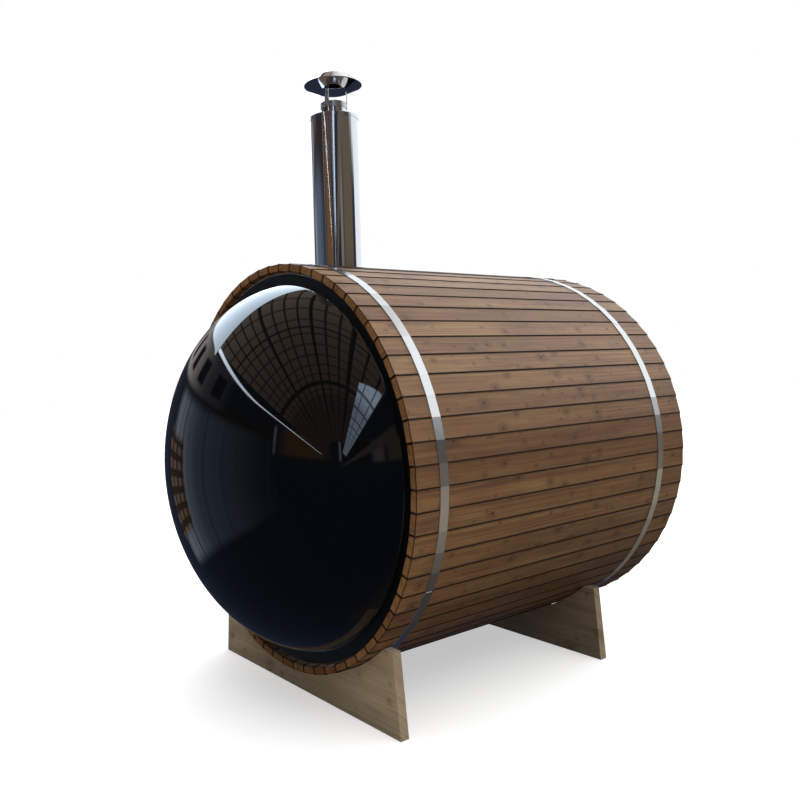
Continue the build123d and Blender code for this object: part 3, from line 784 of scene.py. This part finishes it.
lens.shift_y = view["centreY"] / view["frame"] - 0.5
lens.clip_end = 200
bpy.context.scene.camera = camera


# several masks or numbers multiplied together
def product(tree, *factors):
    result = factors[0]
    for factor in factors[1:]:
        result = addNode(tree, "Math", (result, factor), operation="MULTIPLY")
    return result


# A mask over a quantity: 0 rising to 1 between the two values of rise, and 1 falling to 0
# between the two of fall; either may be left out.
def mask(tree, value, rise=None, fall=None):
    halves = []
    for ends, start, stop in ((rise, 0.0, 1.0), (fall, 1.0, 0.0)):
        if ends:
            halves.append(addNode(tree, "MapRange", (value, *ends, start, stop),
                                  interpolation_type="SMOOTHSTEP"))
    return product(tree, *halves)


# a mask that is 1 from low to high, each edge soft on either side
def band(tree, value, low, high, soft):
    return mask(tree, value, (low - soft, low + soft), (high - soft, high + soft))


# the larger of several masks
def either(tree, *masks):
    result = masks[0]
    for other in masks[1:]:
        result = addNode(tree, "Math", (result, other), operation="MAXIMUM")
    return result


# a mask of thin lines, one every spacing of the quantity
def lines(tree, value, spacing, width):
    away = addNode(tree, "Math", (value, spacing / 2), operation="PINGPONG")
    return mask(tree, away, fall=(width * 0.35, width * 0.65))


# To the camera the floor glows a little, so that it stays white and still keeps the sauna's
# shadow; to what it lights it is a pale apron before the window and dark ground elsewhere.
ground = {"half": 30, "apronEnd": (-0.9, -0.4), "apron": (0.62, 0.56, 0.47), "yard": (0.11, 0.10, 0.09)}
size = ground["half"]
corners = [(-size, -size, 0), (size, -size, 0), (size, size, 0), (-size, size, 0)]
floor = putMesh("floor", corners, [[0, 1, 2, 3]])
paleGround, tree, shader = newMaterial("paleGround", {
    "Roughness": 0.9, "Base Color": "#f4f4f4", "Specular IOR Level": 0.0, "Emission Color": "#ffffff",
    "Emission Strength": 0.5})
at = addNode(tree, "SeparateXYZ", (addNode(tree, "TexCoord").outputs["Object"],))
apron = mask(tree, at.outputs[1], fall=ground["apronEnd"])
yard = addNode(tree, "BsdfDiffuse", (layered(tree, ground["yard"], (apron, ground["apron"])),))
seen = addNode(tree, "LightPath")
both = addNode(tree, "MixShader", (seen.outputs["Is Camera Ray"], yard, shader))
tree.links.new(both.outputs[0], tree.nodes["Material Output"].inputs["Surface"])
dress(floor, paleGround)

# What the blown edge would mirror of the rim, the straps and the seat close round it is left out,
# and so is the floor, which the world draws for the gloss.
names = ["floor", "bubbleFlange", "rainCap", "frontStrap", "rearStrap"]
names += [obj.name for obj in bpy.data.objects if obj.name.endswith("Staves")]
unmirrored = [bpy.data.objects[name] for name in names]
unmirrored += [frame["nodes"][node] for node in ("window_seal", "window_ring")]
for obj in unmirrored:
    obj.visible_glossy = False

# The world that the gloss shows: a long vaulted shed in front of the window, its roof in panes,
# a bright gap along its left eave, a skylight strip on its right, and open sky through its near
# arch. Axis, left and up are the shed's directions; theta is the angle round the axis from the
# left horizon in degrees, and reach is how far along the shed a ray meets it, in radii of the
# vault. Azimuth and height are a ray's own, in degrees. Colours are linear light.
hall = {"axis": (0.6261, -0.7787, 0.0419), "left": (-0.7793, -0.6266, 0.0), "up": (-0.0263, 0.0327, 0.9991),
        "dark": (0.030, 0.036, 0.055), "ground": (0.024, 0.032, 0.056), "sky": (4.6, 5.3, 6.2),
        "archSky": (2.3, 2.75, 3.25), "openSky": (1.2, 1.27, 1.34), "roof": (0.34, 0.265, 0.205),
        "farRoof": (0.14, 0.095, 0.085), "line": (0.03, 0.026, 0.028), "skylight": (2.1, 2.6, 3.3),
        "farSkylight": (1.0, 1.3, 1.7), "bar": (0.1, 0.11, 0.14), "rightEave": (0.16, 0.14, 0.12),
        "wall": (0.55, 0.52, 0.49), "nearWall": (0.10, 0.10, 0.11), "window": (0.02, 0.02, 0.03),
        "sheeting": (0.38, 0.46, 0.53), "midSheeting": (0.13, 0.17, 0.235),
        "farSheeting": (0.04, 0.045, 0.07), "fold": (0.06, 0.075, 0.10),
        "pallet": (0.27, 0.185, 0.135), "palletGap": (0.03, 0.02, 0.02),
        "paving": (0.36, 0.32, 0.26), "pavingEdge": (0.16, 0.14, 0.12), "barrelShadowOnPaving": (0.05, 0.045, 0.04),
        "yardLeft": (0.085, 0.07, 0.058), "dull": (0.19, 0.19, 0.195), "overhead": (2.0, 2.01, 2.05),
        "fromRight": (2.0, 1.98, 1.95), "fromBehind": (2.35, 2.4, 2.45)}
# low round the yard, what the upright flue mirrors: from one azimuth to the next, soft edge, colour
yardBands = ((-138, -97, 5, (0.04, 0.033, 0.028)), (-96.2, -94.6, 0.5, (0.36, 0.39, 0.42)),
             (-90, -60, 5, (0.19, 0.10, 0.042)), (-50.6, -48.8, 0.5, (0.5, 0.53, 0.56)),
             (-44, -24, 4, (0.03, 0.026, 0.026)), (-20, -8, 3, (0.26, 0.23, 0.20)),
             (-4, 44, 5, (0.16, 0.125, 0.088)))
degrees = 57.2958
world = bpy.data.worlds.new("hallWorld")
bpy.context.scene.world = world
world.use_nodes = True
tree = world.node_tree
direction = addNode(tree, "TexCoord").outputs["Generated"]
along, side, rise = (addNode(tree, "VectorMath", (direction, hall[k]), operation="DOT_PRODUCT")
                     for k in ("axis", "left", "up"))
squares = addNode(tree, "Math", (product(tree, side, side), product(tree, rise, rise)), operation="ADD")
fromAxis = addNode(tree, "Math", (squares,), operation="SQRT")
reach = addNode(tree, "Math", (along, fromAxis), operation="DIVIDE")
theta = product(tree, addNode(tree, "Math", (rise, side), operation="ARCTAN2"), degrees)
ray = addNode(tree, "SeparateXYZ", (direction,)).outputs
azimuth = product(tree, addNode(tree, "Math", (ray[1], ray[0]), operation="ARCTAN2"), degrees)
height = product(tree, addNode(tree, "Math", (ray[2],), operation="ARCSINE"), degrees)

# a wall on the left with dark windows, sheeting hung below it and pallets beside that
windows = product(tree, lines(tree, reach, 0.34, 0.16), band(tree, theta, 18, 25, 0.6))
wallTone = layered(tree, hall["wall"], (mask(tree, reach, (-0.75, -0.1)), hall["nearWall"]),
                   (windows, hall["window"]))
folds = addNode(tree, "TexNoise", {"W": azimuth, "Scale": 0.35, "Detail": 2.0}, noise_dimensions="1D")
sheeting = layered(tree, hall["sheeting"], (mask(tree, reach, (-0.6, 0.0)), hall["midSheeting"]),
                   (mask(tree, reach, (0.1, 0.9)), hall["farSheeting"]),
                   (product(tree, mask(tree, folds, (0.45, 0.7)), 0.6), hall["fold"]))
gaps = either(tree, lines(tree, height, 3.4, 1.6), lines(tree, azimuth, 6.0, 2.0))
pallets = layered(tree, hall["pallet"], (product(tree, gaps, 0.85), hall["palletGap"]))

# Roof panes. Purlins run along the shed, closer together near the eave: their count is
# 9.6 ln(theta / 30). Ribs go across it: their count is 4.28 ln(1 - 1.2 (reach + 0.03)) near the
# arch, and they are 0.155 apart beyond it.
lowTheta = addNode(tree, "Math", (product(tree, theta, 1 / 30), 0.01), operation="MAXIMUM")
purlins = product(tree, addNode(tree, "Math", (lowTheta, 2.71828), operation="LOGARITHM"), 9.6)
before = addNode(tree, "Math", (-0.03, reach), operation="SUBTRACT")
before = addNode(tree, "Math", (before, 1.2, 1.0), operation="MULTIPLY_ADD")
nearRibs = product(tree, addNode(tree, "Math", (before, 2.71828), operation="LOGARITHM"), 4.28)
farRibs = product(tree, addNode(tree, "Math", (reach, 0.19), operation="SUBTRACT"), 1 / 0.155)
farLines = product(tree, lines(tree, farRibs, 1.0, 0.16), mask(tree, reach, (0.14, 0.141)))
nearLines = product(tree, lines(tree, nearRibs, 1.0, 0.13), mask(tree, reach, fall=(0.14, 0.141)),
                    mask(tree, reach, fall=(0.02, 0.021)))
ribs = addNode(tree, "Math", (farLines, nearLines), operation="ADD")
mainPurlins = [band(tree, theta, at - wide, at + wide, 0.35)
               for at, wide in ((50, 0.8), (76.5, 1.1), (103.5, 1.7))]
beams = either(tree, band(tree, reach, 0.08, 0.105, 0.006), band(tree, reach, 0.93, 1.02, 0.02), *mainPurlins)
grid = either(tree, lines(tree, purlins, 1.0, 0.17), product(tree, ribs, 0.75))
panes = layered(tree, hall["roof"], (product(tree, mask(tree, reach, (-0.2, 0.9)), 0.55), hall["farRoof"]),
                (mask(tree, reach, (1.0, 1.4)), hall["farRoof"]), (product(tree, grid, 0.9), hall["line"]),
                (product(tree, beams, 0.9), hall["line"]))

# skylight strip with its bars, ending on a slant
slant = addNode(tree, "Math", (theta, 0.0123, reach), operation="MULTIPLY_ADD")
bars = either(tree, lines(tree, reach, 0.42, 0.07), lines(tree, theta, 10.0, 1.2))
skylight = layered(tree, hall["skylight"], (mask(tree, reach, (0.7, 1.3)), hall["farSkylight"]),
                   (product(tree, bars, 0.75), hall["bar"]))
skylightIn = product(tree, band(tree, theta, 114.3, 135, 0.4), mask(tree, slant, (2.07, 2.10)),
                     mask(tree, reach, fall=(6.4, 6.8)))
# gap at the eave, bowed at its near end and narrower at its far one
bow = product(tree, mask(tree, reach, fall=(-0.35, 0.6)), 3.2)
aboveEave = addNode(tree, "Math", (theta, bow), operation="SUBTRACT")
aboveEave = addNode(tree, "Math", (aboveEave, 25.8), operation="SUBTRACT")
narrower = product(tree, mask(tree, reach, (-0.1, 0.9)), 0.7)
gapWidth = addNode(tree, "Math", (1.25, narrower), operation="SUBTRACT")
gapShare = addNode(tree, "Math", (aboveEave, gapWidth), operation="DIVIDE")
gapIn = product(tree, band(tree, gapShare, 0, 1, 0.13), mask(tree, reach, (-0.32, -0.30)),
                mask(tree, reach, fall=(3.6, 4.2)))
# The near arch: an ellipse about azimuth 168 and height 20, over a skyline at height
# 25 - 15 ((194 - azimuth) / 40) ^ 1.4, with azimuth counted from 0 to 360.
turn = addNode(tree, "Math", (azimuth, 360.0), operation="FLOORED_MODULO")
fromMiddle = product(tree, addNode(tree, "Math", (turn, 168.0), operation="SUBTRACT"), 1 / 31)
fromSpring = product(tree, addNode(tree, "Math", (height, 20.0), operation="SUBTRACT"), 1 / 23)
squares = [product(tree, offset, offset) for offset in (fromMiddle, fromSpring)]
ellipse = addNode(tree, "Math", squares, operation="ADD")
falling = product(tree, addNode(tree, "Math", (194.0, turn), operation="SUBTRACT"), 1 / 40)
falling = addNode(tree, "Math", (falling, 0.0), operation="MAXIMUM")
falling = product(tree, addNode(tree, "Math", (falling, 1.4), operation="POWER"), 15.0)
skyline = addNode(tree, "Math", (25.0, falling), operation="SUBTRACT")
aboveSkyline = addNode(tree, "Math", (height, skyline), operation="SUBTRACT")
arch = product(tree, mask(tree, ellipse, fall=(0.985, 1.0)), mask(tree, aboveSkyline, (-0.3, 0.3)),
               band(tree, turn, 138, 199, 0.5))
# open sky behind and to the right of the barrel, where its upper side and the straps look
openings = (((50, 141, 8), (14, 50, 2.5)), ((60, 143, 2), (3, 20, 3)), ((40, 60, 6), (17, 50, 3)))
openSky = either(tree, *(product(tree, band(tree, azimuth, *across), band(tree, height, *upwards))
                         for across, upwards in openings))
# the ground: nearly black before the window, pale paving beside the barrel, with a painted shadow of the
# barrel close under it
beside = band(tree, azimuth, 25, 108, 8)
paving = layered(tree, hall["paving"], (mask(tree, height, fall=(-50, -14)), hall["barrelShadowOnPaving"]))

# everything laid over the dark, from the yard to the paving
lowRound = band(tree, height, 6, 17.5, 1.5)
shade = layered(
    tree, hall["dark"], (mask(tree, height, fall=(-6, 3)), hall["ground"]),
    *((product(tree, lowRound, band(tree, azimuth, a0, a1, soft)), tone) for a0, a1, soft, tone in yardBands),
    (product(tree, band(tree, azimuth, -138, -100, 5), band(tree, height, 1, 9.0, 2)), hall["yardLeft"]),
    (product(tree, band(tree, theta, 15.5, 28, 1), band(tree, reach, -3, 0.12, 0.12)), wallTone),
    (product(tree, band(tree, theta, -27, 13, 2), band(tree, reach, -0.62, 1.0, 0.08)), sheeting),
    (product(tree, band(tree, azimuth, -178, -160, 1), band(tree, height, -19, 1, 1.5)), pallets),
    (product(tree, band(tree, theta, 30.2, 136, 0.2), band(tree, reach, -1.55, 4.2, 0.05)), panes),
    (product(tree, band(tree, theta, 136, 160, 1), mask(tree, height, (16, 19)),
             mask(tree, reach, (-1.6, -1.5))), hall["dark"]),
    (product(tree, band(tree, theta, 154, 162, 2), mask(tree, reach, (0.3, 0.6))), hall["rightEave"]),
    (skylightIn, skylight), (gapIn, hall["sky"]), (arch, hall["archSky"]), (openSky, hall["openSky"]),
    (product(tree, beside, band(tree, height, -12, 3, 2)), hall["pavingEdge"]),
    (product(tree, beside, mask(tree, height, fall=(-13, -11))), paving))

# what lights the matt surfaces: an even dull light, more from overhead, most from the right
glow = layered(
    tree, hall["dull"], (mask(tree, height, (42, 72)), hall["overhead"]),
    (product(tree, band(tree, azimuth, -35, 75, 22), band(tree, height, 36, 74, 9)), hall["fromRight"]),
    (product(tree, band(tree, azimuth, 75, 150, 15), band(tree, height, 8, 50, 8)), hall["fromBehind"]))
path = addNode(tree, "LightPath").outputs
mirrored = either(tree, path["Is Glossy Ray"], path["Is Transmission Ray"])
light, mirror, backdrop = (addNode(tree, "Background", {"Color": colour})
                           for colour in (glow, shade, (1, 1, 1, 1)))
lit = addNode(tree, "MixShader", (mirrored, light, mirror))
shown = addNode(tree, "MixShader", (path["Is Camera Ray"], lit, backdrop))
tree.links.new(shown.outputs[0], tree.nodes["World Output"].inputs["Surface"])
tree.nodes.remove(tree.nodes["Background"])
world.cycles.sampling_method = "MANUAL"
world.cycles.sample_map_resolution = 512
bpy.context.scene.view_settings.view_transform = "Standard"
report("camera, floor and world")
